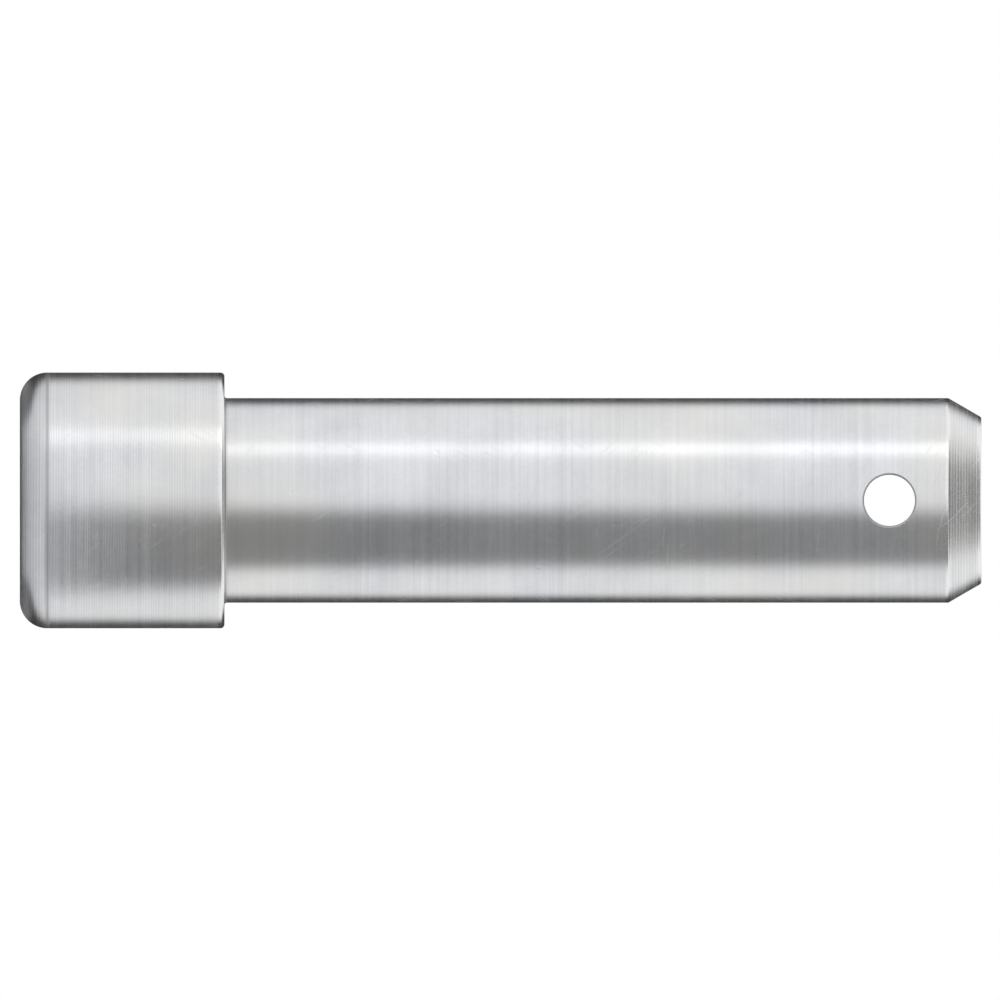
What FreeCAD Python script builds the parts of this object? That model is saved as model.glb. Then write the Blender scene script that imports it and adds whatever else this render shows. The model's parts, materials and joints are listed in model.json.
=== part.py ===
"""Lift link pin: a headed steel pin, turned in one piece from round bar.

The pin stands on its head. Its axis is +Z, and the origin is on that axis in
the plane of the shoulder, the face under the head that seats on the lift arm.
The head is below the origin and the shank above it, with the cross hole for
the retaining clip running along Y near the tip. All lengths are millimetres.
"""
import FreeCAD, Part
import math
import os

# Shank
shank_diameter = 25.4
shoulder_to_hole = 82.55
hole_to_tip = 11.4

# Head
head_length = 25.4
shoulder_width = 3.175

# Lead-in at the tip
lead_in_length = 4.1
lead_in_angle = 30.0

# Cross hole
hole_diameter = 6.35

# Rounded edges
head_end_rounding = 3.4
shoulder_rounding = 0.5
neck_rounding = 0.3
tip_rounding = 0.4
hole_rounding = 0.2

# Sizes that follow from the ones above
shank_radius = shank_diameter / 2
head_radius = shank_radius + shoulder_width
tip_radius = shank_radius - lead_in_length * math.tan(math.radians(lead_in_angle))
hole_radius = hole_diameter / 2
head_end_height = -head_length
shoulder_height = 0.0
hole_height = shoulder_height + shoulder_to_hole
tip_height = hole_height + hole_to_tip
lead_in_height = tip_height - lead_in_length

MATCH = 1e-4


def turned_blank():
    """Revolve the sharp-cornered half profile about the pin's axis."""
    profile = [
        (0, head_end_height),
        (head_radius, head_end_height),
        (head_radius, shoulder_height),
        (shank_radius, shoulder_height),
        (shank_radius, lead_in_height),
        (tip_radius, tip_height),
        (0, tip_height),
    ]
    corners = [FreeCAD.Vector(radius, 0, height) for radius, height in profile]
    outline = Part.makePolygon(corners + corners[:1])
    return Part.Face(outline).revolve(FreeCAD.Vector(0, 0, 0), FreeCAD.Vector(0, 0, 1), 360)


def corner_edges(solid, radius, height):
    """List the circular edges of this radius around the axis at this height."""
    centre = FreeCAD.Vector(0, 0, height)
    return [
        edge
        for edge in solid.Edges
        if isinstance(edge.Curve, Part.Circle)
        and abs(edge.Curve.Radius - radius) < MATCH
        and edge.Curve.Center.isEqual(centre, MATCH)
    ]


def round_corners(solid):
    """Round the blank's corners: the head's end, the shoulder, the neck and the tip."""
    corners = [
        (head_radius, head_end_height, head_end_rounding),
        (head_radius, shoulder_height, shoulder_rounding),
        (shank_radius, shoulder_height, neck_rounding),
        (tip_radius, tip_height, tip_rounding),
    ]
    for radius, height, rounding in corners:
        solid = solid.makeFillet(rounding, corner_edges(solid, radius, height))
    return solid


def drill_cross_hole(solid):
    """Drill the clip hole across the shank and break the edges of its two mouths."""
    start = FreeCAD.Vector(0, -head_radius, hole_height)
    drill = Part.makeCylinder(hole_radius, 2 * head_radius, start, FreeCAD.Vector(0, 1, 0))
    drilled = solid.cut(drill)
    return drilled.makeFillet(hole_rounding, mouth_edges(drilled))


def mouth_edges(solid):
    """List the saddle-shaped edges where the hole's wall breaks out of the shank."""
    walls = [
        face
        for face in solid.Faces
        if isinstance(face.Surface, Part.Cylinder)
        and abs(face.Surface.Radius - hole_radius) < MATCH
        and abs(face.Surface.Axis.y) > 1 - MATCH
    ]
    return [
        edge
        for wall in walls
        for edge in wall.Edges
        if not isinstance(edge.Curve, Part.Line)
    ]


def lift_link_pin():
    """Make the whole pin: turned, rounded at its corners and cross-drilled."""
    return drill_cross_hole(round_corners(turned_blank()))


os.makedirs("parts", exist_ok=True)
lift_link_pin().exportStep("parts/lift_link_pin.step")
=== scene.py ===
import json
import logging
import math
from dataclasses import dataclass, replace
from enum import Enum
from functools import cached_property

import bpy
import numpy as np
from mathutils import Matrix, Vector


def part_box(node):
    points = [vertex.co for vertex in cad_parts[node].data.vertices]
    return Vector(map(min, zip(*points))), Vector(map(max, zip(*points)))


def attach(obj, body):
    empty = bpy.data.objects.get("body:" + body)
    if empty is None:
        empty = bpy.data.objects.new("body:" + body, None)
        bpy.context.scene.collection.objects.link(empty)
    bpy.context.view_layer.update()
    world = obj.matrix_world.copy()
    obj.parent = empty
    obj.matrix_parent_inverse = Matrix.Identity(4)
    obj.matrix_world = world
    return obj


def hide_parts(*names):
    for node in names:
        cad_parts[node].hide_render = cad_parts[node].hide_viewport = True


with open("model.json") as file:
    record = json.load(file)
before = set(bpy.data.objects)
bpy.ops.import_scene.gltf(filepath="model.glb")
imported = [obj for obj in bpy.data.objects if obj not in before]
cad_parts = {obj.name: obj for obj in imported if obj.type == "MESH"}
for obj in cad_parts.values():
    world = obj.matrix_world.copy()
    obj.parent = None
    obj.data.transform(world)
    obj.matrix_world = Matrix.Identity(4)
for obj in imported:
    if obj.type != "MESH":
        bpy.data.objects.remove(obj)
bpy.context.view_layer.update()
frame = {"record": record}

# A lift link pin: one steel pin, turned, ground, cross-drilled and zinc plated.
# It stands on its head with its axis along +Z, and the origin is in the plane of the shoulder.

NODE = "lift_link_pin"
BODY = "root"
MM = 0.001
PHOTO_PIXELS = 1000

# Turns are counted from +X, so the front mouth of the cross hole, at -Y, is at three quarters.
FULL_TURN = 2 * math.pi
FRONT_TURN = 0.75
QUARTER_TURN = 0.25

# Points that round to the same step are welded, and the offset keeps round sizes off the halves.
WELD_STEPS_PER_METRE = 1e8
WELD_OFFSET = 0.3

log = logging.getLogger(NODE)

Array = np.ndarray
Colour = tuple[float, float, float]
Place = tuple[float, float, float]
Socket = bpy.types.NodeSocket
Feed = float | Colour | Vector | Socket
Feeds = dict[str | int, Feed]


class Finish(Enum):
    """How a surface of the pin was cut. The value is its material slot on the mesh."""

    GROUND = 0
    TURNED = 1
    FACED = 2
    DRILLED = 3


@dataclass(frozen=True)
class PinSizes:
    """The pin's sizes in metres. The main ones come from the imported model."""

    head_radius: float
    head_end: float
    shank_radius: float
    tip: float
    hole_radius: float
    hole_height: float
    shoulder: float = 0.0
    head_end_rounding: float = 3.4 * MM
    shoulder_rounding: float = 0.5 * MM
    neck_rounding: float = 0.3 * MM
    lead_in_length: float = 4.1 * MM
    lead_in_angle: float = math.radians(30)
    lead_in_rounding: float = 0.12 * MM
    tip_rounding: float = 0.4 * MM
    hole_rounding: float = 0.2 * MM

    @classmethod
    def from_frame(cls) -> "PinSizes":
        """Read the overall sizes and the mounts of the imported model.

        Returns:
            The sizes of this pin.
        """
        low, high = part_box(NODE)
        mounts = {mount["name"]: mount for mount in frame["record"]["mounts"]}
        return cls(
            head_radius=high.x,
            head_end=low.z,
            shank_radius=mounts["shank"]["dims"]["r_mm"] * MM,
            tip=high.z,
            hole_radius=mounts["cross_hole"]["dims"]["r_mm"] * MM,
            hole_height=mounts["cross_hole"]["pos_m"][2],
        )

    @property
    def lead_in_start(self) -> float:
        """The height where the shank ends and the tapered tip starts."""
        return self.tip - self.lead_in_length

    @property
    def tip_radius(self) -> float:
        """The radius that the taper comes down to at the tip."""
        return self.shank_radius - self.lead_in_length * math.tan(self.lead_in_angle)


@dataclass(frozen=True)
class Band:
    """A rectangle of the bake map, with turns from left to right and length upwards."""

    left: float
    bottom: float
    width: float
    height: float

    def place(self, turn: Array, share: Array, points: Array) -> Array:
        """Map a band by its turn and its share of the length. The points aren't needed."""
        return np.stack([self.left + self.width * turn, self.bottom + self.height * share], axis=-1)


@dataclass(frozen=True)
class Disc:
    """A round area of the bake map for a flat face, seen along the pin's axis."""

    centre: tuple[float, float]
    scale: float

    def place(self, turn: Array, share: Array, points: Array) -> Array:
        """Map a flat face by its points alone, about the disc's centre."""
        return np.asarray(self.centre) + self.scale * points[..., :2]


class Chart(Enum):
    """The areas of the bake map. The tip's face lies inside the ring of the shoulder."""

    SHANK = Band(left=0.008, bottom=0.01, width=0.47, height=0.98)
    HEAD = Band(left=0.50, bottom=0.01, width=0.49, height=0.30)
    HOLE = Band(left=0.85, bottom=0.33, width=0.14, height=0.64)
    SHOULDER = Disc(centre=(0.67, 0.495), scale=10.7)
    TIP = Disc(centre=(0.67, 0.495), scale=10.2)
    HEAD_END = Disc(centre=(0.66, 0.82), scale=11.8)


@dataclass(frozen=True)
class Corner:
    """A corner of the half profile before it is rounded, and the rings that round it.

    Where the rounding gets a dull line darkened with painted shade, the last field says how far
    along it, from 0 to 1.
    """

    radius: float
    height: float
    rounding: float = 0.0
    rings: int = 8
    finish: Finish | None = None
    dull_and_shade_at: float | None = None


@dataclass(frozen=True)
class Run:
    """What the line between two corners wears, and how it is divided into rings.

    The cross hole goes through the one that is holed.
    """

    finish: Finish
    chart: Chart
    rings: int
    evenly: bool = False
    holed: bool = False


@dataclass(frozen=True)
class Stretch:
    """A sampled line or arc of the half profile, with a row in each array for each ring.

    The lengths in along run on from stretch to stretch, and the place of a dull line darkened with
    painted shade is such a length.
    """

    points: Array
    normals: Array
    along: Array
    run: Run
    is_edge: bool = False
    dull_and_shade_at: float | None = None


@dataclass(frozen=True)
class Rim:
    """One walk round the front mouth of the cross hole, with a row in each array for each step.

    Each step has a point on the border of the window that the mouth's patch fills, and the
    angle round the hole at which that point lies. There the ball that rounds the mouth has its
    centre at ball, which is round the pin from the hole's axis by the angle lean. Outward and
    inward point from it to the shank and to the hole's wall. Spread is the angle between them,
    and depth is the length of the rounding's arc.
    """

    border_turn: Array
    border_height: Array
    angle: Array
    lean: Array
    ball: Array
    outward: Array
    inward: Array
    spread: Array
    depth: Array


@dataclass
class Surface:
    """A grid of points on the pin with all that the mesh needs at each of them."""

    points: Array
    normals: Array
    bake: Array
    lathe: Array
    edge: Array
    # Where the plating is dull and darkened with painted shade, from 0 to 1.
    nook: Array
    finish: Finish

    def quads(self) -> Array:
        """Join the grid's points into quads that face the way its normals point.

        Returns:
            Indices into the flattened grid, one row of four for each quad.
        """
        quads = grid_quads(*self.points.shape[:2])
        first, second, third, fourth = self.points.reshape(-1, 3)[quads].transpose(1, 0, 2)
        facing = np.cross(third - first, fourth - second)
        outward = (facing * self.normals.reshape(-1, 3)[quads[:, 2]]).sum()
        return quads if outward > 0 else quads[:, ::-1]


def grid_quads(rows: int, columns: int) -> Array:
    """Join the neighbours in a grid of points into quads.

    Args:
        rows: The grid's rows.
        columns: Its columns.

    Returns:
        Indices into the flattened grid, one row of four for each quad.
    """
    index = np.arange(rows * columns).reshape(rows, columns)
    corners = [index[:-1, :-1], index[:-1, 1:], index[1:, 1:], index[1:, :-1]]
    return np.stack(corners, axis=-1).reshape(-1, 4)


def bell(distance: Array, reach: float) -> Array:
    """Turn distances into 1 at nought, falling off as e to the minus (distance / reach) squared."""
    return np.exp(-np.square(distance / reach))


def divided(steps: int, evenly: bool = False) -> Array:
    """Divide the way from 0 to 1, with short steps at both ends.

    The share at step k of n is half of one minus the cosine of pi k / n.

    Args:
        steps: The number of steps.
        evenly: Whether the steps are all alike instead.

    Returns:
        The shares, from 0 to 1.
    """
    shares = np.linspace(0.0, 1.0, steps + 1)
    return shares if evenly else (1 - np.cos(np.pi * shares)) / 2


def rounded_profile(corners: list[Corner], runs: list[Run]) -> list[Stretch]:
    """Join corners by straight lines and round each corner with an arc tangent to both.

    A rounding of radius q at a corner that turns by an angle a trims each line by
    q tan(a / 2). The outward normal of a line with heading h is (sin h, -cos h). An arc
    wears what the line before it wears, but where that is a flat face's, the next line's.

    Args:
        corners: The corners, from the axis at the head's end to the axis at the tip.
        runs: What each line between them wears, one fewer than the corners.

    Returns:
        The lines and arcs in order.
    """
    places = np.array([(corner.radius, corner.height) for corner in corners])
    steps = np.diff(places, axis=0)
    ways = steps / np.linalg.norm(steps, axis=1, keepdims=True)
    headings = np.unwrap(np.arctan2(ways[:, 1], ways[:, 0]))
    turns = np.append(np.diff(headings), 0.0)
    roundings = np.array([corner.rounding for corner in corners])
    trims = roundings * np.tan(np.abs(np.concatenate([[0.0], turns])) / 2)
    stretches, travelled = [], 0.0
    for index, run in enumerate(runs):
        heading, way = headings[index], ways[index]
        start = places[index] + way * trims[index]
        end = places[index + 1] - way * trims[index + 1]
        shares = divided(run.rings, run.evenly)[:, None]
        line = start + (end - start) * shares
        along = travelled + np.linalg.norm(end - start) * shares[:, 0]
        normal = np.array([math.sin(heading), -math.cos(heading)])
        stretches.append(Stretch(line, np.broadcast_to(normal, line.shape), along, run))
        travelled = along[-1]
        corner = corners[index + 1]
        if corner.rounding:
            beside = runs[index + 1] if isinstance(run.chart.value, Disc) else run
            wears = replace(beside, finish=corner.finish or beside.finish)
            stretches.append(rounded_corner(corner, wears, end, heading, turns[index], travelled))
            travelled = stretches[-1].along[-1]
    return stretches


def rounded_corner(
    corner: Corner, wears: Run, start: Array, heading: float, turn: float, travelled: float
) -> Stretch:
    """Round a corner of the profile with an arc.

    The arc's points are its centre plus or minus the rounding times the outward normal,
    (sin h, -cos h), as the heading h goes from one line's to the next line's.

    Args:
        corner: The corner, with its rounding and its rings.
        wears: What the arc wears.
        start: The point where the arc starts.
        heading: The heading of the line before it.
        turn: The angle by which the profile turns at the corner.
        travelled: The length of the profile up to the arc.

    Returns:
        The arc, which is an edge where it turns outwards.
    """
    side = math.copysign(1.0, turn)
    swept = heading + turn * np.linspace(0.0, 1.0, corner.rings + 1)
    normals = np.stack([np.sin(swept), -np.cos(swept)], axis=1)
    centre = start - side * corner.rounding * normals[0]
    points = centre + side * corner.rounding * normals
    along = travelled + corner.rounding * np.abs(swept - heading)
    dull_and_shade_at = None
    if corner.dull_and_shade_at is not None:
        dull_and_shade_at = travelled + corner.dull_and_shade_at * (along[-1] - travelled)
    return Stretch(points, normals, along, wears, side > 0, dull_and_shade_at)


@dataclass
class LiftLinkPin:
    """The pin as one closed surface, swept round its axis and pierced by the cross hole."""

    sizes: PinSizes
    columns: int = 256
    window_columns: int = 20
    window_rings: int = 40
    window_half_height: float = 6.0 * MM
    patch_rings: int = 14
    mouth_rings: int = 6
    wall_rings: int = 32
    longest_edge: float = 1.0 * MM
    edge_reach: float = 0.45 * MM
    dull_and_shade_reach: float = 0.22 * MM
    mouth_edge_reach: float = 0.08 * MM
    mouth_edge_share: float = 0.5

    @cached_property
    def profile(self) -> list[Stretch]:
        """The half profile, from the axis at the head's end up to the axis at the tip."""
        pin = self.sizes
        window_low = pin.hole_height - self.window_half_height
        window_high = pin.hole_height + self.window_half_height
        corners = [
            Corner(0.0, pin.head_end),
            Corner(
                pin.head_radius,
                pin.head_end,
                pin.head_end_rounding,
                rings=24,
                finish=Finish.FACED,
                # A dull line darkened with painted shade where the head's end rounding meets the
                # turned head.
                dull_and_shade_at=1.0,
            ),
            Corner(pin.head_radius, pin.shoulder, pin.shoulder_rounding),
            # Painted shade with duller plating half way round the neck's rounding, in the corner.
            Corner(pin.shank_radius, pin.shoulder, pin.neck_rounding, dull_and_shade_at=0.5),
            Corner(pin.shank_radius, window_low),
            Corner(pin.shank_radius, window_high),
            Corner(pin.shank_radius, pin.lead_in_start, pin.lead_in_rounding, rings=4),
            Corner(pin.tip_radius, pin.tip, pin.tip_rounding),
            Corner(0.0, pin.tip),
        ]
        runs = [
            Run(Finish.FACED, Chart.HEAD_END, rings=12),
            Run(Finish.TURNED, Chart.HEAD, rings=32),
            Run(Finish.FACED, Chart.SHOULDER, rings=10),
            Run(Finish.GROUND, Chart.SHANK, rings=48),
            Run(Finish.GROUND, Chart.SHANK, rings=self.window_rings, evenly=True, holed=True),
            Run(Finish.GROUND, Chart.SHANK, rings=8),
            Run(Finish.FACED, Chart.SHANK, rings=14),
            Run(Finish.FACED, Chart.TIP, rings=12),
        ]
        return rounded_profile(corners, runs)

    @cached_property
    def edges(self) -> Array:
        """Where the small outer roundings start and end, as lengths along the profile."""
        spans = np.array([(s.along[0], s.along[-1]) for s in self.profile if s.is_edge])
        return spans[spans[:, 1] - spans[:, 0] < self.longest_edge]

    @cached_property
    def dull_and_shade_lines(self) -> Array:
        """Where the plating is dull and darkened with painted shade, as lengths along the profile.
        """
        return np.array([s.dull_and_shade_at for s in self.profile if s.dull_and_shade_at is not None])

    @cached_property
    def chart_spans(self) -> dict[Chart, tuple[float, float]]:
        """Where each chart's stretches start and end, as lengths along the profile."""
        spans: dict[Chart, tuple[float, float]] = {}
        for stretch in self.profile:
            first = spans.get(stretch.run.chart, (stretch.along[0], 0.0))[0]
            spans[stretch.run.chart] = (first, stretch.along[-1])
        return spans

    def edge_nearness(self, along: Array) -> Array:
        """Say how near each place on the profile is to its nearest outer edge.

        Args:
            along: Lengths along the profile.

        Returns:
            Nearness from 0 to 1, in the same shape.
        """
        starts, ends = self.edges[:, 0], self.edges[:, 1]
        away = np.maximum(starts - along[..., None], along[..., None] - ends)
        return bell(np.maximum(away, 0.0).min(axis=-1), self.edge_reach)

    def dull_and_shade_nearness(self, along: Array) -> Array:
        """Say how near each place on the profile is to a dull line darkened with painted shade."""
        return bell(np.abs(along[..., None] - self.dull_and_shade_lines).min(axis=-1), self.dull_and_shade_reach)

    def share_along(self, chart: Chart, along: Array) -> Array:
        """Turn lengths along the profile into shares of a chart's own length."""
        start, end = self.chart_spans[chart]
        return (along - start) / (end - start)

    def revolved(self, stretch: Stretch, first: int, last: int) -> Surface:
        """Carry a stretch of the profile round the axis, from one column to another.

        The point at turn t is (radius cos t, radius sin t, height), and the normal
        turns with it.

        Args:
            stretch: The line or arc to carry round.
            first: The first column.
            last: The last column, which the grid includes.

        Returns:
            The swept grid.
        """
        turn = np.arange(first, last + 1) / self.columns
        cosine, sine = np.cos(FULL_TURN * turn), np.sin(FULL_TURN * turn)
        radius, height = stretch.points[:, :1], stretch.points[:, 1:]
        outward, upward = stretch.normals[:, :1], stretch.normals[:, 1:]
        level = np.ones_like(turn)
        points = np.stack([radius * cosine, radius * sine, height * level], axis=-1)
        normals = np.stack([outward * cosine, outward * sine, upward * level], axis=-1)
        along = stretch.along[:, None] * level
        turns = np.broadcast_to(turn, along.shape)
        chart = stretch.run.chart
        return Surface(
            points=points,
            normals=normals,
            bake=chart.value.place(turns, self.share_along(chart, along), points),
            lathe=np.stack([turns, along / MM], axis=-1),
            edge=self.edge_nearness(along),
            nook=self.dull_and_shade_nearness(along),
            finish=stretch.run.finish,
        )

    def window_border(self, heights: Array) -> tuple[Array, Array]:
        """Walk once round the window that the front mouth's patch fills.

        The window's grid points are taken along its lower side, up its right side,
        back along the top and down the left side.

        Args:
            heights: The heights of the window's rings, from the lowest up.

        Returns:
            The turn and the height at each border point, the first one repeated last.
        """
        half, rings = self.window_columns, len(heights) - 1
        across = np.arange(-half, half)
        columns = np.concatenate([across, np.full(rings, half), -across, np.full(rings, -half)])
        low, high = np.full(2 * half, heights[0]), np.full(2 * half, heights[-1])
        rises = np.concatenate([low, heights[:-1], high, heights[:0:-1]])
        turn = (FRONT_TURN * self.columns + columns) / self.columns
        return np.append(turn, turn[0]), np.append(rises, rises[0])

    def front_rim(self, window: Stretch) -> Rim:
        """Roll a ball round the front mouth of the cross hole.

        The ball has the radius q of the mouth's rounding. It stays inside the metal and
        touches the shank of radius R and the hole of radius r. At an angle t round the
        hole its centre is at x = (r + q) cos t, on the cylinder of radius R - q. It
        touches the shank straight outwards from there and the hole straight towards the
        hole's axis.

        Args:
            window: The stretch of the shank that the mouth's patch fills.

        Returns:
            The rim, with a step for each point of the window's border.
        """
        pin = self.sizes
        border_turn, border_height = self.window_border(window.points[:, 1])
        across = pin.shank_radius * FULL_TURN * (border_turn - FRONT_TURN)
        angle = np.unwrap(np.arctan2(border_height - pin.hole_height, across))
        cosine, sine, level = np.cos(angle), np.sin(angle), np.zeros_like(angle)
        ball_ring = pin.shank_radius - pin.hole_rounding
        ball_track = pin.hole_radius + pin.hole_rounding
        lean = np.arcsin(ball_track * cosine / ball_ring)
        outward = np.stack([np.sin(lean), -np.cos(lean), level], axis=-1)
        inward = np.stack([-cosine, level, -sine], axis=-1)
        ball = ball_ring * outward
        ball[:, 2] = pin.hole_height + ball_track * sine
        spread = np.arccos((outward * inward).sum(axis=-1))
        return Rim(
            border_turn=border_turn,
            border_height=border_height,
            angle=angle,
            lean=lean,
            ball=ball,
            outward=outward,
            inward=inward,
            spread=spread,
            depth=pin.hole_rounding * spread,
        )

    def mouth_patch(self, rim: Rim, window: Stretch, side: int) -> Surface:
        """Fill the window round a mouth, from the ball's track on the shank to the border.

        The turn and the height change together, with the square of each ring's share, so
        that the rings crowd towards the mouth.

        Args:
            rim: The front rim.
            window: The stretch of the shank that the patch fills.
            side: 1 for the front mouth or -1 for its mirror image.

        Returns:
            The patch.
        """
        radius, ball_height = self.sizes.shank_radius, rim.ball[:, 2]
        blend = np.square(np.linspace(0.0, 1.0, self.patch_rings + 1))[:, None]
        border_lean = FULL_TURN * (rim.border_turn - FRONT_TURN)
        lean = rim.lean + (border_lean - rim.lean) * blend
        height = ball_height + (rim.border_height - ball_height) * blend
        turn = FRONT_TURN + lean / FULL_TURN
        turn[-1] = rim.border_turn
        cosine, sine = np.cos(FULL_TURN * turn), side * np.sin(FULL_TURN * turn)
        points = np.stack([radius * cosine, radius * sine, height], axis=-1)
        along = window.along[0] + height - window.points[0, 1]
        turns = turn if side > 0 else 1 - turn
        clear = np.hypot(radius * (lean - rim.lean), height - ball_height)
        mouth_edge = self.mouth_edge_share * bell(clear, self.edge_reach)
        return Surface(
            points=points,
            normals=np.stack([cosine, sine, np.zeros_like(turn)], axis=-1),
            bake=Chart.SHANK.value.place(turns, self.share_along(Chart.SHANK, along), points),
            lathe=np.stack([turns, along / MM], axis=-1),
            edge=np.maximum(mouth_edge, self.edge_nearness(along)),
            nook=np.zeros_like(along),
            finish=Finish.GROUND,
        )

    def mouth_rounding(self, rim: Rim, side: int) -> Surface:
        """Round a mouth with the arcs between the two points that the ball touches.

        The direction from the ball's centre at the share s of an arc that spans the
        angle a is (sin((1 - s) a) outward + sin(s a) inward) / sin a.

        Args:
            rim: The front rim.
            side: 1 for the front mouth or -1 for its mirror image.

        Returns:
            The rounding.
        """
        flip = np.array([1, side, 1])
        spread = rim.spread[:, None]
        share = np.linspace(0.0, 1.0, self.mouth_rings + 1)[:, None, None]
        arc = np.sin((1 - share) * spread) * rim.outward + np.sin(share * spread) * rim.inward
        arc /= np.sin(spread)
        points = rim.ball + self.sizes.hole_rounding * arc
        depth = rim.depth * share[..., 0]
        way = side * (depth - rim.depth - self.sizes.shank_radius)
        return self.hole_surface(rim, points * flip, arc * flip, depth, way)

    def hole_wall(self, rim: Rim) -> Surface:
        """Run the hole's wall from mouth to mouth, with short steps near both.

        Args:
            rim: The front rim.

        Returns:
            The wall.
        """
        pin = self.sizes
        reach = -rim.ball[:, 1]
        wall = np.array([0.0, 0.0, pin.hole_height]) - pin.hole_radius * rim.inward
        way = reach * (2 * divided(self.wall_rings)[:, None] - 1)
        points = np.stack(np.broadcast_arrays(wall[:, 0], way, wall[:, 2]), axis=-1)
        normals = np.broadcast_to(rim.inward, points.shape)
        return self.hole_surface(rim, points, normals, rim.depth + reach - np.abs(way), way)

    def hole_surface(
        self, rim: Rim, points: Array, normals: Array, depth: Array, way: Array
    ) -> Surface:
        """Finish a grid that goes round the cross hole.

        Args:
            rim: The front rim.
            points: The grid's points.
            normals: Their normals.
            depth: How far each point is along the surface from the nearer mouth's patch.
            way: How far each point is along the surface from the middle of the hole.

        Returns:
            The grid with all that the mesh needs.
        """
        radius = self.sizes.shank_radius
        rounds = np.broadcast_to((rim.angle - rim.angle[0]) / FULL_TURN, depth.shape)
        share = (1 + way / (radius + rim.depth)) / 2
        return Surface(
            points=points,
            normals=normals,
            bake=Chart.HOLE.value.place(rounds, share, points),
            lathe=np.stack([rounds, (radius + points[..., 1]) / MM], axis=-1),
            edge=self.mouth_edge_share * bell(depth, self.mouth_edge_reach),
            # Painted shade with duller plating just inside each mouth, where the rounding meets the
            # wall.
            nook=bell(depth - rim.depth, self.dull_and_shade_reach),
            finish=Finish.DRILLED,
        )

    def cross_hole(self, window: Stretch) -> list[Surface]:
        """Make a patch and a rounding for each mouth of the cross hole, and the wall between."""
        rim = self.front_rim(window)
        made = []
        for side in (1, -1):
            made += [self.mouth_patch(rim, window, side), self.mouth_rounding(rim, side)]
        return [*made, self.hole_wall(rim)]

    def surfaces(self) -> list[Surface]:
        """Sweep every stretch of the profile, leaving the two windows to the cross hole.

        Returns:
            All the grids that together close the pin.
        """
        quarter, half = self.columns // 4, self.window_columns
        full = [(0, self.columns)]
        beside_windows = [
            (0, quarter - half),
            (quarter + half, 3 * quarter - half),
            (3 * quarter + half, self.columns),
        ]
        made = []
        for stretch in self.profile:
            holed = stretch.run.holed
            spans = beside_windows if holed else full
            made += [self.revolved(stretch, first, last) for first, last in spans]
            if holed:
                made += self.cross_hole(stretch)
        return made

    def build(self, materials: list[bpy.types.Material]) -> bpy.types.Object:
        """Weld the surfaces into one closed mesh and dress it.

        Args:
            materials: A material for each finish, in the order of the slots.

        Returns:
            The pin's object, at the origin.
        """
        surfaces = self.surfaces()
        mesh = welded_mesh("pin", surfaces)
        for material in materials:
            mesh.materials.append(material)
        piece = bpy.data.objects.new("pin", mesh)
        bpy.context.scene.collection.objects.link(piece)
        counts = (len(surfaces), len(mesh.vertices), len(mesh.polygons))
        log.info("pin: %d surfaces, %d vertices, %d faces", *counts)
        return piece


def welded_mesh(name: str, surfaces: list[Surface]) -> bpy.types.Mesh:
    """Join grids that share borders into one mesh with smooth exact normals.

    Points that agree to a hundredth of a micrometre become one vertex, and quads
    that lose a corner in this, at the two poles, become triangles.

    Args:
        name: The mesh's name.
        surfaces: The grids, whose borders coincide point by point.

    Returns:
        The mesh, with its bake map, its lathe map, its edge attribute and the attribute of dull
        places darkened with painted shade.
    """
    widths = {"points": 3, "normals": 3, "bake": 2, "lathe": 2, "edge": 1, "nook": 1}
    points, normals, bake, lathe, edge, nook = (
        np.concatenate([getattr(surface, field).reshape(-1, width) for surface in surfaces])
        for field, width in widths.items()
    )
    quads = [s.quads() for s in surfaces]
    offsets = np.cumsum([0] + [s.points[..., 0].size for s in surfaces[:-1]])
    faces = np.concatenate([q + offset for q, offset in zip(quads, offsets)])
    slots = np.concatenate([np.full(len(q), s.finish.value) for q, s in zip(quads, surfaces)])

    keys = np.rint(points * WELD_STEPS_PER_METRE + WELD_OFFSET).astype(np.int64)
    first, vertex = np.unique(keys, axis=0, return_index=True, return_inverse=True)[1:]
    vertex = vertex.reshape(-1)
    kept = vertex[faces] != vertex[np.roll(faces, -1, axis=1)]
    corners = faces[kept]
    counts = kept.sum(axis=1)
    starts = np.cumsum(counts) - counts

    mesh = bpy.data.meshes.new(name)
    mesh.vertices.add(len(first))
    mesh.vertices.foreach_set("co", points[first].astype(np.float32).ravel())
    mesh.loops.add(len(corners))
    mesh.loops.foreach_set("vertex_index", vertex[corners].astype(np.int32))
    mesh.polygons.add(len(starts))
    mesh.polygons.foreach_set("loop_start", starts.astype(np.int32))
    mesh.polygons.foreach_set("material_index", slots.astype(np.int32))
    for label, values in (("OFBake", bake), ("Lathe", lathe)):
        layer = mesh.uv_layers.new(name=label)
        layer.uv.foreach_set("vector", values[corners].astype(np.float32).ravel())
    for label, values in (("edge", edge), ("nook", nook)):
        layer = mesh.attributes.new(label, "FLOAT", "POINT")
        layer.data.foreach_set("value", values[first].astype(np.float32).ravel())
    mesh.update(calc_edges=True)
    mesh.shade_smooth()
    mesh.normals_split_custom_set_from_vertices(normals[first].tolist())
    return mesh


@dataclass(frozen=True)
class Noise:
    """A smooth noise of scale cells to each unit of its place, and its levels for 0 and 1."""

    scale: float
    detail: float
    roughness: float = 0.5
    low: float = 0.0
    high: float = 1.0


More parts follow.
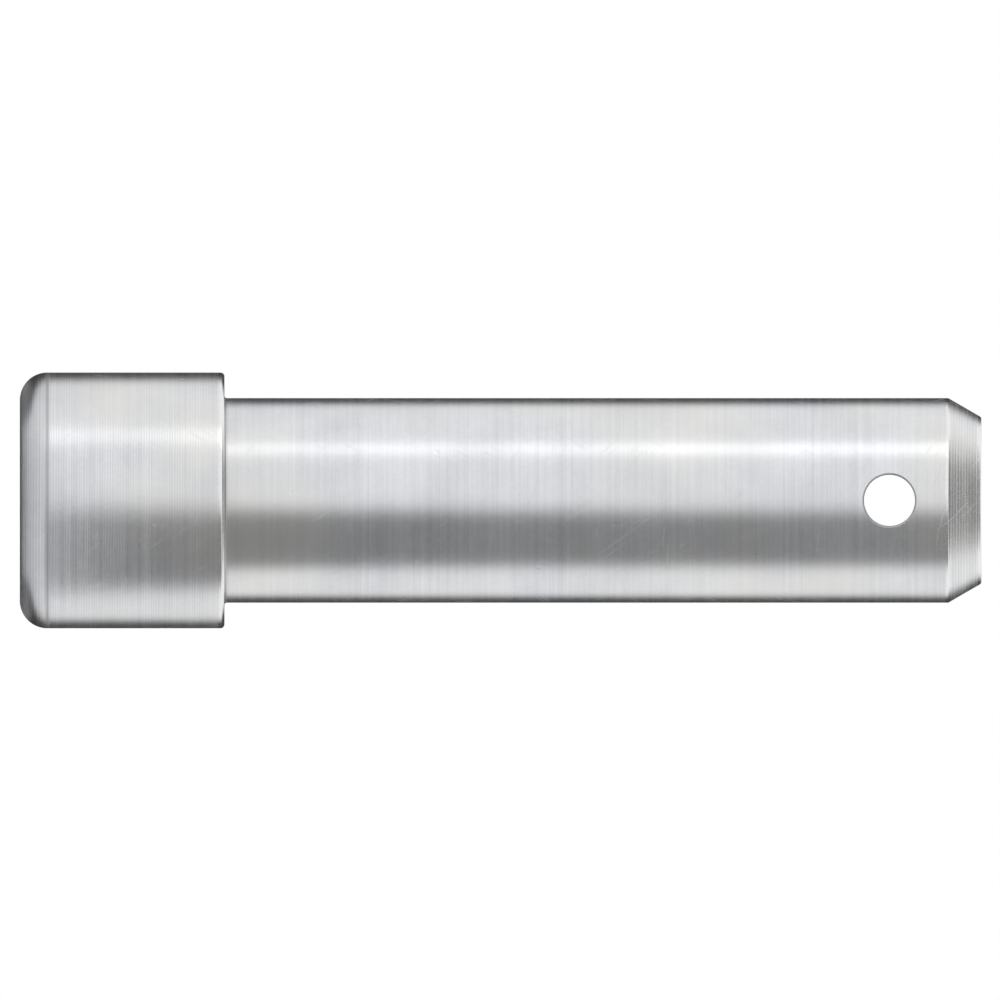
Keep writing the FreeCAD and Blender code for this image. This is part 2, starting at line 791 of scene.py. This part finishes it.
@dataclass(frozen=True)
class Graph:
    """A node tree, with short calls for the nodes that the finishes need."""

    tree: bpy.types.NodeTree

    def node(self, kind: str, feeds: Feeds | None = None, **settings: object) -> bpy.types.Node:
        """Add a node, set it up and feed its inputs.

        Args:
            kind: The node's type, without its ShaderNode prefix.
            feeds: What each input gets, by name or number.
            settings: The node's own properties.

        Returns:
            The new node.
        """
        made = self.tree.nodes.new(f"ShaderNode{kind}")
        for key, value in settings.items():
            setattr(made, key, value)
        for key, value in (feeds or {}).items():
            self.feed(made.inputs[key], value)
        return made

    def feed(self, socket: Socket, value: Feed) -> None:
        """Link a socket to another one, or set it to a number, vector or colour."""
        if isinstance(value, Socket):
            self.tree.links.new(value, socket)
        elif socket.type == "RGBA":
            socket.default_value = (*value, 1.0)
        else:
            socket.default_value = value

    def maths(self, operation: str, *values: Feed) -> Socket:
        """Work out one number from up to three others."""
        return self.node("Math", dict(enumerate(values)), operation=operation).outputs[0]

    def vector(self, operation: str, *values: Feed) -> Socket:
        """Work out one vector from up to three others."""
        feeds = dict(enumerate(values))
        return self.node("VectorMath", feeds, operation=operation).outputs["Vector"]

    def dot(self, first: Feed, second: Feed) -> Socket:
        """Work out the dot product of two vectors."""
        made = self.node("VectorMath", {0: first, 1: second}, operation="DOT_PRODUCT")
        return made.outputs["Value"]

    def ramped(
        self, value: Feed, low: float, high: float, to_low: float = 0.0, to_high: float = 1.0
    ) -> Socket:
        """Map a value smoothly from one range to another, held at both ends."""
        levels = {"From Min": low, "From Max": high, "To Min": to_low, "To Max": to_high}
        made = self.node("MapRange", {"Value": value, **levels}, interpolation_type="SMOOTHSTEP")
        return made.outputs["Result"]

    def noise(self, place: Feed, kind: Noise) -> Socket:
        """Read a noise at a place in space, as about 0 to 1."""
        sizes = {"Scale": kind.scale, "Detail": kind.detail, "Roughness": kind.roughness}
        return self.node("TexNoise", {"Vector": place, **sizes}, noise_dimensions="3D").outputs[0]

    def levelled(self, place: Feed, kind: Noise) -> Socket:
        """Read a noise and stretch it to its own two levels."""
        return self.ramped(self.noise(place, kind), kind.low, kind.high)

    def summed(self, start: Feed, parts: list[tuple[Feed, float]]) -> Feed:
        """Add to the start each value times its share, leaving out those without a share."""
        for value, share in parts:
            if share:
                start = self.maths("MULTIPLY_ADD", value, share, start)
        return start

    def mixed(self, share: Feed, first: Feed, second: Feed) -> Socket:
        """Mix two colours, which are the mix node's inputs 6 and 7, into its output 2."""
        return self.node("Mix", {0: share, 6: first, 7: second}, data_type="RGBA").outputs[2]


def group_graph(
    name: str, takes: dict[str, str], gives: list[str]
) -> tuple[Graph, bpy.types.Node, bpy.types.Node]:
    """Start a shader node group.

    Args:
        name: The group's name.
        takes: The kind of each input, Float or Vector, by name.
        gives: The names of the outputs, all numbers.

    Returns:
        The group's graph, the node with its inputs and the node for its outputs.
    """
    tree = bpy.data.node_groups.new(name, "ShaderNodeTree")
    for label, kind in takes.items():
        tree.interface.new_socket(name=label, in_out="INPUT", socket_type=f"NodeSocket{kind}")
    for label in gives:
        tree.interface.new_socket(name=label, in_out="OUTPUT", socket_type="NodeSocketFloat")
    return Graph(tree), tree.nodes.new("NodeGroupInput"), tree.nodes.new("NodeGroupOutput")


@dataclass
class SharedEffects:
    """The node groups that the finishes share, each built once."""

    fine_streaks: Noise = Noise(scale=1.0, detail=3.0, roughness=0.6)
    broad_streaks: Noise = Noise(scale=0.22, detail=2.0, low=0.3, high=0.7)
    fine_streak_share: float = 0.6
    broad_streak_share: float = 0.4
    streak_low: float = 0.28
    streak_high: float = 0.72
    streak_change_round: float = 0.5
    shallowest_groove: float = 0.35

    cloud: Noise = Noise(scale=95.0, detail=3.0, roughness=0.55, low=0.30, high=0.70)
    tint: Noise = Noise(scale=38.0, detail=2.0, roughness=0.55, low=0.42, high=0.66)
    grain: Noise = Noise(scale=1700.0, detail=2.0, roughness=0.55, low=0.28, high=0.72)
    crystal: Noise = Noise(scale=6500.0, detail=1.0, roughness=0.55, low=0.25, high=0.75)

    hairlines: Noise = Noise(scale=1.0, detail=0.0, low=0.68, high=0.76)
    hairline_breaks: Noise = Noise(scale=230.0, detail=1.0, low=0.50, high=0.62)
    hairline_ways: tuple[Place, ...] = (
        (0.75, 0.25, 0.61),
        (-0.35, 0.80, 0.49),
        (0.30, -0.45, 0.84),
    )
    hairline_shift: float = 3.7
    coarse_scale: float = 130.0
    fine_scale: float = 5200.0
    facing_full: float = 0.55
    facing_none: float = 0.85

    ding_scale: float = 210.0
    ding_chance_above: float = 0.55
    ding_floor: float = 0.03
    ding_rim: float = 0.075

    edge_noise: Noise = Noise(scale=900.0, detail=2.0)
    noise_middle: float = 0.5
    edge_unevenness: float = 0.6
    shine_from: float = 0.35

    @cached_property
    def tool_marks(self) -> bpy.types.NodeTree:
        """Lines that a tool or a grinding wheel leaves round a turned surface.

        The Groove output is a sine of the length along the profile over the feed, plus the
        turn, so that it winds round as a helix. The streaks are a noise that changes
        fast along the profile and slowly round it.
        """
        numbers = ["Along", "Turn", "Feed", "Fineness"]
        inputs = {"Round": "Vector", **dict.fromkeys(numbers, "Float")}
        graph, takes, gives = group_graph("tool_marks", inputs, ["Groove", "Streak"])
        along, turn, feed, fineness = (takes.outputs[name] for name in numbers)
        passes = graph.maths("ADD", graph.maths("DIVIDE", along, feed), turn)
        wave = graph.maths("SINE", graph.maths("MULTIPLY", passes, FULL_TURN))
        height = graph.maths("MULTIPLY", along, fineness)
        raised = graph.node("CombineXYZ", {"Z": height}).outputs[0]
        slowly = (self.streak_change_round,) * 3
        place = graph.vector("MULTIPLY_ADD", takes.outputs["Round"], slowly, raised)
        fine = graph.noise(place, self.fine_streaks)
        broad = graph.noise(place, self.broad_streaks)
        levels = (self.broad_streaks.low, self.broad_streaks.high)
        depth = graph.ramped(broad, *levels, to_low=self.shallowest_groove)
        graph.feed(gives.inputs["Groove"], graph.maths("MULTIPLY", wave, depth))
        both = graph.summed(0.0, [(fine, self.fine_streak_share), (broad, self.broad_streak_share)])
        graph.feed(gives.inputs["Streak"], graph.ramped(both, self.streak_low, self.streak_high))
        return graph.tree

    @cached_property
    def plating(self) -> bpy.types.NodeTree:
        """The zinc: slow changes of tone, a faint tint, a grain and its finest crystals."""
        kinds = {
            "Cloud": self.cloud,
            "Tint": self.tint,
            "Grain": self.grain,
            "Crystal": self.crystal,
        }
        graph, takes, gives = group_graph("plating", {"Place": "Vector"}, list(kinds))
        for name, kind in kinds.items():
            graph.feed(gives.inputs[name], graph.levelled(takes.outputs["Place"], kind))
        return graph.tree

    @cached_property
    def handling(self) -> bpy.types.NodeTree:
        """Hairline scratches and small dings from barrel plating and handling.

        Each set of hairlines is a noise squeezed along one way through space until it is
        a stack of thin sheets: the place times a coarse scale, plus the way times a fine
        scale times the place's length along the way. Where a sheet crosses the surface
        it leaves a hairline, and a second noise breaks the hairlines into short pieces.
        A line would widen to a smear where the surface lies nearly in a sheet, so the
        lines fade as the surface's normal turns towards the way. Dings are small round
        hollows at the middles of some cells of a Voronoi pattern.
        """
        inputs = {"Place": "Vector", "Normal": "Vector"}
        graph, takes, gives = group_graph("handling", inputs, ["Scratch", "Ding"])
        place, normal = takes.outputs["Place"], takes.outputs["Normal"]
        total: Feed = 0.0
        for number, direction in enumerate(self.hairline_ways):
            way = Vector(direction).normalized()
            moved = graph.vector("ADD", place, (self.hairline_shift * number,) * 3)
            coarse = graph.vector("MULTIPLY", moved, (self.coarse_scale,) * 3)
            across = graph.dot(moved, way)
            sheets = graph.vector("MULTIPLY_ADD", across, self.fine_scale * way, coarse)
            facing = graph.maths("ABSOLUTE", graph.dot(normal, way))
            sharp = graph.ramped(facing, self.facing_full, self.facing_none, 1.0, 0.0)
            thin = graph.maths("MULTIPLY", graph.levelled(sheets, self.hairlines), sharp)
            broken = graph.maths("MULTIPLY", thin, graph.levelled(moved, self.hairline_breaks))
            total = graph.maths("MAXIMUM", total, broken)
        graph.feed(gives.inputs["Scratch"], total)
        cells = graph.node("TexVoronoi", {"Vector": place, "Scale": self.ding_scale}, feature="F1")
        chance = graph.node("SeparateColor", {0: cells.outputs["Color"]}).outputs[0]
        chosen = graph.maths("GREATER_THAN", chance, self.ding_chance_above)
        hollow = graph.ramped(cells.outputs["Distance"], self.ding_floor, self.ding_rim, 1.0, 0.0)
        graph.feed(gives.inputs["Ding"], graph.maths("MULTIPLY", hollow, chosen))
        return graph.tree

    @cached_property
    def edge_shine(self) -> bpy.types.NodeTree:
        """Where tumbling has burnished the outer edges, made uneven by a fine noise."""
        inputs = {"Edge": "Float", "Place": "Vector"}
        graph, takes, gives = group_graph("edge_shine", inputs, ["Shine"])
        noise = graph.noise(takes.outputs["Place"], self.edge_noise)
        uneven = graph.maths("SUBTRACT", noise, self.noise_middle)
        worn = graph.summed(takes.outputs["Edge"], [(uneven, self.edge_unevenness)])
        graph.feed(gives.inputs["Shine"], graph.ramped(worn, self.shine_from, 1.0))
        return graph.tree


@dataclass(frozen=True)
class Mark:
    """What a trace adds where it is fullest: tone, roughness, and height in millimetres."""

    tone: float = 0.0
    roughness: float = 0.0
    height: float = 0.0


@dataclass(frozen=True)
class Coat:
    """A colour over the metal, and the share that it covers where its trace is fullest."""

    colour: Colour
    share: float


# What the traces do on every finish. The dull places darkened with painted shade come from an
# attribute of the mesh, and the others go by the names of the shared groups' outputs.
MARKS = {
    "Cloud": Mark(tone=0.35),
    "Grain": Mark(tone=0.12, roughness=0.02, height=0.0012),
    "Crystal": Mark(roughness=0.01, height=0.0004),
    "Scratch": Mark(roughness=0.10, height=-0.003),
    "Ding": Mark(height=-0.012),
    "Nook": Mark(roughness=0.15),
    "Shine": Mark(roughness=-0.08),
}
COATS = {
    "Tint": Coat((0.80, 0.79, 0.74), share=0.5),
    # Painted shade: this dark grey darkens the neck corner and the inside of the hole's mouths,
    # where shade falls, and a dull line where the head's end rounding meets the turned head.
    "Nook": Coat((0.30, 0.30, 0.31), share=0.65),
    "Shine": Coat((0.90, 0.90, 0.91), share=0.6),
}


@dataclass(frozen=True)
class Metal:
    """One finish of the plated steel. The feed between two grooves is in millimetres."""

    name: str
    roughness: float
    feed: float
    fineness: float
    # Its tone paints shade into the valleys of the tool marks; its height is their real relief.
    groove_and_shade: Mark
    streak: Mark
    light: Colour = (0.84, 0.85, 0.87)
    dark: Colour = (0.61, 0.62, 0.65)
    anisotropy: float = 0.45
    round_hole: bool = False

    def dress(self, effects: SharedEffects, pin: PinSizes) -> bpy.types.Material:
        """Build the finish as a material.

        Args:
            effects: The shared node groups.
            pin: The pin's sizes, for the hole's place.

        Returns:
            The material.
        """
        material = bpy.data.materials.new(self.name)
        material.use_nodes = True
        graph = Graph(material.node_tree)
        shader = material.node_tree.nodes["Principled BSDF"]
        traces = self.traces(graph, effects, pin)
        named = {"Groove": self.groove_and_shade, "Streak": self.streak, **MARKS}
        marks = [(traces[name], mark) for name, mark in named.items()]
        # The grooves' part of the tone is painted shade in their valleys; the cloud, grain and
        # streaks vary it at random.
        tone = graph.summed(0.0, [(trace, mark.tone) for trace, mark in marks])
        rough = graph.summed(self.roughness, [(trace, mark.roughness) for trace, mark in marks])
        height = graph.summed(0.0, [(trace, mark.height) for trace, mark in marks])
        colour = graph.mixed(tone, self.dark, self.light)
        # The coats lay the zinc's tint, the painted shade of the dull places and the burnished
        # edges' lighter zinc over the tone.
        for name, coat in COATS.items():
            covered = graph.maths("MULTIPLY", traces[name], coat.share)
            colour = graph.mixed(covered, colour, coat.colour)
        bump = graph.node("Bump", {"Strength": 1.0, "Distance": MM, "Height": height})
        graph.feed(shader.inputs["Base Color"], colour)
        graph.feed(shader.inputs["Roughness"], rough)
        graph.feed(shader.inputs["Normal"], bump.outputs[0])
        shader.inputs["Metallic"].default_value = 1.0
        if self.anisotropy:
            shader.inputs["Anisotropic"].default_value = self.anisotropy
            shader.inputs["Anisotropic Rotation"].default_value = QUARTER_TURN
            tangent = graph.node("Tangent", direction_type="RADIAL", axis="Z")
            graph.feed(shader.inputs["Tangent"], tangent.outputs[0])
        return material

    def traces(self, graph: Graph, effects: SharedEffects, pin: PinSizes) -> dict[str, Socket]:
        """Place the shared groups in the material and feed their inputs by name.

        The lathe map gives the turn and the length along the surface in millimetres.

        Args:
            graph: The material's graph.
            effects: The shared node groups.
            pin: The pin's sizes, for the hole's place.

        Returns:
            What has happened to the metal at each place, as sockets by name.
        """
        coordinates = graph.node("TexCoord").outputs
        lathe_map = graph.node("UVMap", uv_map="Lathe").outputs[0]
        lathe = graph.node("SeparateXYZ", {0: lathe_map}).outputs
        feeds = {
            "Place": coordinates["Object"],
            "Normal": coordinates["Normal"],
            "Round": self.direction_round(graph, coordinates["Object"], pin),
            "Along": lathe["Y"],
            "Turn": lathe["X"],
            "Feed": self.feed,
            "Fineness": self.fineness,
            "Edge": graph.node("Attribute", attribute_name="edge").outputs["Fac"],
        }
        # The dull places darkened with painted shade come from the mesh's attribute.
        traces = {"Nook": graph.node("Attribute", attribute_name="nook").outputs["Fac"]}
        for tree in (effects.tool_marks, effects.plating, effects.handling, effects.edge_shine):
            group = graph.node("Group", node_tree=tree)
            for socket in group.inputs:
                graph.feed(socket, feeds[socket.name])
            traces |= {socket.name: socket for socket in group.outputs}
        return traces

    def direction_round(self, graph: Graph, place: Socket, pin: PinSizes) -> Socket:
        """Point away from the axis that the tool turned about, as a unit vector."""
        if self.round_hole:
            moved = graph.vector("SUBTRACT", place, (0.0, 0.0, pin.hole_height))
            flat = graph.vector("MULTIPLY", moved, (1.0, 0.0, 1.0))
        else:
            flat = graph.vector("MULTIPLY", place, (1.0, 1.0, 0.0))
        return graph.vector("NORMALIZE", flat)


# Each groove tone darkens the tool marks' valleys as painted shade of their relief.
METALS = {
    Finish.GROUND: Metal(
        name="ground_zinc",
        roughness=0.265,
        feed=1.1,
        fineness=4.5,
        groove_and_shade=Mark(tone=0.05, height=0.0001),
        streak=Mark(tone=0.45, roughness=0.035, height=0.0010),
        light=(0.85, 0.86, 0.88),
        dark=(0.62, 0.63, 0.66),
    ),
    Finish.TURNED: Metal(
        name="turned_zinc",
        roughness=0.265,
        feed=0.32,
        fineness=4.0,
        groove_and_shade=Mark(tone=0.22, height=0.0030),
        streak=Mark(tone=0.45, roughness=0.05, height=0.0025),
    ),
    Finish.FACED: Metal(
        name="faced_zinc",
        roughness=0.26,
        feed=0.4,
        fineness=4.0,
        groove_and_shade=Mark(tone=0.35, height=0.0040),
        streak=Mark(tone=0.45, roughness=0.06, height=0.0022),
        anisotropy=0.5,
    ),
    Finish.DRILLED: Metal(
        name="drilled_zinc",
        roughness=0.52,
        feed=0.4,
        fineness=3.0,
        groove_and_shade=Mark(tone=0.20, height=0.004),
        streak=Mark(tone=0.45, roughness=0.12, height=0.004),
        light=(0.70, 0.71, 0.73),
        dark=(0.46, 0.47, 0.49),
        anisotropy=0.0,
        round_hole=True,
    ),
}


@dataclass(frozen=True)
class Softbox:
    """A soft lamp. Its power is pi times its area times its brightness."""

    name: str
    place: Place
    width: float
    height: float
    brightness: float

    def hang(self, target: Vector) -> None:
        """Put the lamp in the scene, facing the target.

        Args:
            target: The point that the lamp faces.
        """
        lamp = bpy.data.lights.new(self.name, "AREA")
        lamp.shape = "RECTANGLE"
        lamp.size, lamp.size_y = self.width, self.height
        lamp.energy = math.pi * self.width * self.height * self.brightness
        hung = bpy.data.objects.new(self.name, lamp)
        place = Vector(self.place)
        turned = (target - place).to_track_quat("-Z", "Y").to_matrix().to_4x4()
        hung.matrix_world = Matrix.Translation(place) @ turned
        hung.visible_camera = False
        bpy.context.scene.collection.objects.link(hung)


@dataclass(frozen=True)
class Card:
    """A soft-edged patch of a wide egg that stands round the pin and that only its metal reflects.

    Directions are in degrees. The azimuth is 0 towards the camera and 90 towards +X,
    and the rise is 0 at the egg's bottom, on the floor, and 180 at its top.
    """

    name: str
    azimuth: float
    half_width: float
    lowest: float
    highest: float
    softness: float
    brightness: float
    egg_radius: float = 0.55
    egg_height: float = 1.0
    widest: float = 180.0
    rows: int = 65
    columns: int = 97

    def stand(self, pin: PinSizes) -> None:
        """Put the card in the scene.

        A point at azimuth a and rise s is at the radius R sin s and the height
        H (1 - cos s) / 2 above the floor. At the radius r the card is wider at each
        side by the angle whose sine is the head's radius over r, so that it looks as
        wide from the pin's flanks as from its axis. It covers what is behind it fully
        further than its softness from its edges, and less and less towards them. At its
        lower edge the softness is at most half the rise there.

        Args:
            pin: The pin's sizes, for the floor's height and the head's radius.
        """
        shares = np.linspace(0.0, 1.0, self.rows)[:, None]
        rise = np.radians(self.lowest * (self.highest / self.lowest) ** shares)
        radius = self.egg_radius * np.sin(rise)
        height = pin.head_end + self.egg_height * (1 - np.cos(rise)) / 2
        flare = np.degrees(np.arcsin(np.minimum(pin.head_radius / np.maximum(radius, MM), 1.0)))
        half_width = np.minimum(self.half_width + flare, self.widest)
        aside = half_width * np.linspace(-1.0, 1.0, self.columns)
        turn = np.radians(self.azimuth + aside)
        level = np.ones_like(turn)
        points = np.stack([radius * np.sin(turn), -radius * np.cos(turn), height * level], axis=-1)
        sides = (half_width - np.abs(aside)) / self.softness
        lower = (np.degrees(rise) - self.lowest) / min(self.softness, self.lowest / 2)
        upper = (self.highest - np.degrees(rise)) / self.softness
        cover = np.clip(np.minimum(sides, np.minimum(lower, upper)), 0.0, 1.0)
        cover = cover * cover * (3 - 2 * cover)
        card = studio_grid(self.name, points, glowing_material(self.name, self.brightness), cover)
        card.visible_camera = card.visible_shadow = card.visible_diffuse = False


def studio_grid(
    name: str, points: Array, material: bpy.types.Material, cover: Array | None = None
) -> bpy.types.Object:
    """Make a grid that is part of the studio and not of the pin.

    Args:
        name: The object's name.
        points: Its points in rows and columns.
        material: What it wears.
        cover: How much of what is behind it each point hides, or none for all of it.

    Returns:
        The object.
    """
    quads = grid_quads(*points.shape[:2])
    mesh = bpy.data.meshes.new(name)
    mesh.from_pydata(points.reshape(-1, 3).tolist(), [], quads.tolist())
    mesh.materials.append(material)
    if cover is not None:
        layer = mesh.attributes.new("cover", "FLOAT", "POINT")
        layer.data.foreach_set("value", cover.astype(np.float32).ravel())
    made = bpy.data.objects.new(name, mesh)
    bpy.context.scene.collection.objects.link(made)
    return made


def glowing_material(name: str, brightness: float) -> bpy.types.Material:
    """Make a card's material: an even brightness that thins out where the card covers less."""
    material = bpy.data.materials.new(name)
    material.use_nodes = True
    material.cycles.emission_sampling = "NONE"
    tree = material.node_tree
    tree.nodes.remove(tree.nodes["Principled BSDF"])
    graph = Graph(tree)
    cover = graph.node("Attribute", attribute_name="cover").outputs["Fac"]
    clear = graph.node("BsdfTransparent").outputs[0]
    glow = graph.node("Emission", {"Color": (1.0, 1.0, 1.0), "Strength": brightness}).outputs[0]
    mixed = graph.node("MixShader", {0: cover, 1: clear, 2: glow}).outputs[0]
    graph.feed(tree.nodes["Material Output"].inputs["Surface"], mixed)
    return material


def plain_material(name: str, roughness: float = 0.9) -> bpy.types.Material:
    """Make a matt material for the studio."""
    material = bpy.data.materials.new(name)
    material.use_nodes = True
    shader = material.node_tree.nodes["Principled BSDF"]
    shader.inputs["Roughness"].default_value = roughness
    shader.inputs["Specular IOR Level"].default_value = 0.0
    return material


@dataclass
class Studio:
    """A pale floor, a white room, soft light, dim cards for the metal to mirror, and the camera."""

    pin: PinSizes
    softboxes: tuple[Softbox, ...]
    cards: tuple[Card, ...]
    floor_half_width: float = 3.0
    floor_gap: float = 0.02 * MM
    floor_tone: float = 0.80
    floor_tone_seen: float = 0.95
    room_brightness: float = 0.90
    pin_start_pixel: float = 19.87
    pin_end_pixel: float = 981.32
    axis_pixel: float = 500.4
    camera_distance: float = 0.6
    camera_reach: tuple[float, float] = (0.01, 10.0)

    def build(self) -> None:
        """Set the whole studio up round the pin."""
        bpy.context.scene.view_settings.view_transform = "Standard"
        target = Vector((0.0, 0.0, (self.pin.head_end + self.pin.tip) / 2))
        self.lay_floor()
        self.light_room()
        for softbox in self.softboxes:
            softbox.hang(target)
        for card in self.cards:
            card.stand(self.pin)
        bpy.context.scene.camera = self.place_camera()

    def lay_floor(self) -> None:
        """Lay a wide pale floor just under the head's flat end."""
        reach = np.array([-1.0, 1.0]) * self.floor_half_width
        across, away = np.meshgrid(reach, reach)
        level = np.full_like(across, self.pin.head_end - self.floor_gap)
        material = plain_material("pale_floor")
        graph = Graph(material.node_tree)
        tone = graph.ramped(self.seen(graph), 0.0, 1.0, self.floor_tone, self.floor_tone_seen)
        graph.feed(material.node_tree.nodes["Principled BSDF"].inputs["Base Color"], tone)
        studio_grid("floor", np.stack([across, away, level], axis=-1), material)

    def seen(self, graph: Graph) -> Socket:
        """Tell rays that show the room, directly or mirrored, from rays that only light it."""
        rays = graph.node("LightPath").outputs
        either = graph.maths("MAXIMUM", rays["Is Camera Ray"], rays["Is Glossy Ray"])
        return graph.maths("MAXIMUM", either, rays["Is Transmission Ray"])

    def light_room(self) -> None:
        """Make the background white where it is seen or mirrored, and softer where it lights."""
        world = bpy.data.worlds.new("white_room")
        bpy.context.scene.world = world
        world.use_nodes = True
        graph = Graph(world.node_tree)
        strength = graph.ramped(self.seen(graph), 0.0, 1.0, self.room_brightness, 1.0)
        background = world.node_tree.nodes["Background"]
        graph.feed(background.inputs["Color"], (1.0, 1.0, 1.0))
        graph.feed(background.inputs["Strength"], strength)

    def place_camera(self) -> bpy.types.Object:
        """Look along +Y with the pin's tip to the right, in the drawing's flat projection.

        Returns:
            The camera.
        """
        per_pixel = (self.pin.tip - self.pin.head_end) / (self.pin_end_pixel - self.pin_start_pixel)
        middle = PHOTO_PIXELS / 2
        height = self.pin.head_end + (middle - self.pin_start_pixel) * per_pixel
        aside = (middle - self.axis_pixel) * per_pixel
        data = bpy.data.cameras.new("drawing_view")
        data.type = "ORTHO"
        data.ortho_scale = PHOTO_PIXELS * per_pixel
        data.clip_start, data.clip_end = self.camera_reach
        camera = bpy.data.objects.new("drawing_view", data)
        right, up, back = (0, 0, 1), (-1, 0, 0), (0, -1, 0)
        turned = Matrix((right, up, back)).transposed().to_4x4()
        place = Vector((aside, -self.camera_distance, height))
        camera.matrix_world = Matrix.Translation(place) @ turned
        bpy.context.scene.collection.objects.link(camera)
        return camera


SOFTBOXES = (
    Softbox("key", place=(-0.80, -0.46, 0.28), width=0.24, height=0.90, brightness=0.74),
)
CARDS = (
    Card(
        "back_flag",
        azimuth=180,
        half_width=52,
        lowest=1.2,
        highest=80,
        softness=22,
        brightness=0.04,
    ),
    Card(
        "side_card",
        azimuth=45,
        half_width=42,
        lowest=5,
        highest=74,
        softness=24,
        brightness=0.24,
        egg_radius=0.50,
    ),
    Card(
        "ceiling",
        azimuth=0,
        half_width=115,
        lowest=105,
        highest=180,
        softness=24,
        brightness=0.15,
        egg_radius=0.60,
    ),
)


def main() -> None:
    """Build the pin, dress it and set up the studio."""
    logging.basicConfig(level=logging.INFO, format="%(name)s: %(message)s")
    sizes = PinSizes.from_frame()
    effects = SharedEffects()
    materials = [METALS[finish].dress(effects, sizes) for finish in Finish]
    pin = LiftLinkPin(sizes).build(materials)
    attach(pin, BODY)
    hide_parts(NODE)
    Studio(sizes, SOFTBOXES, CARDS).build()


if __name__ == "__main__":
    main()
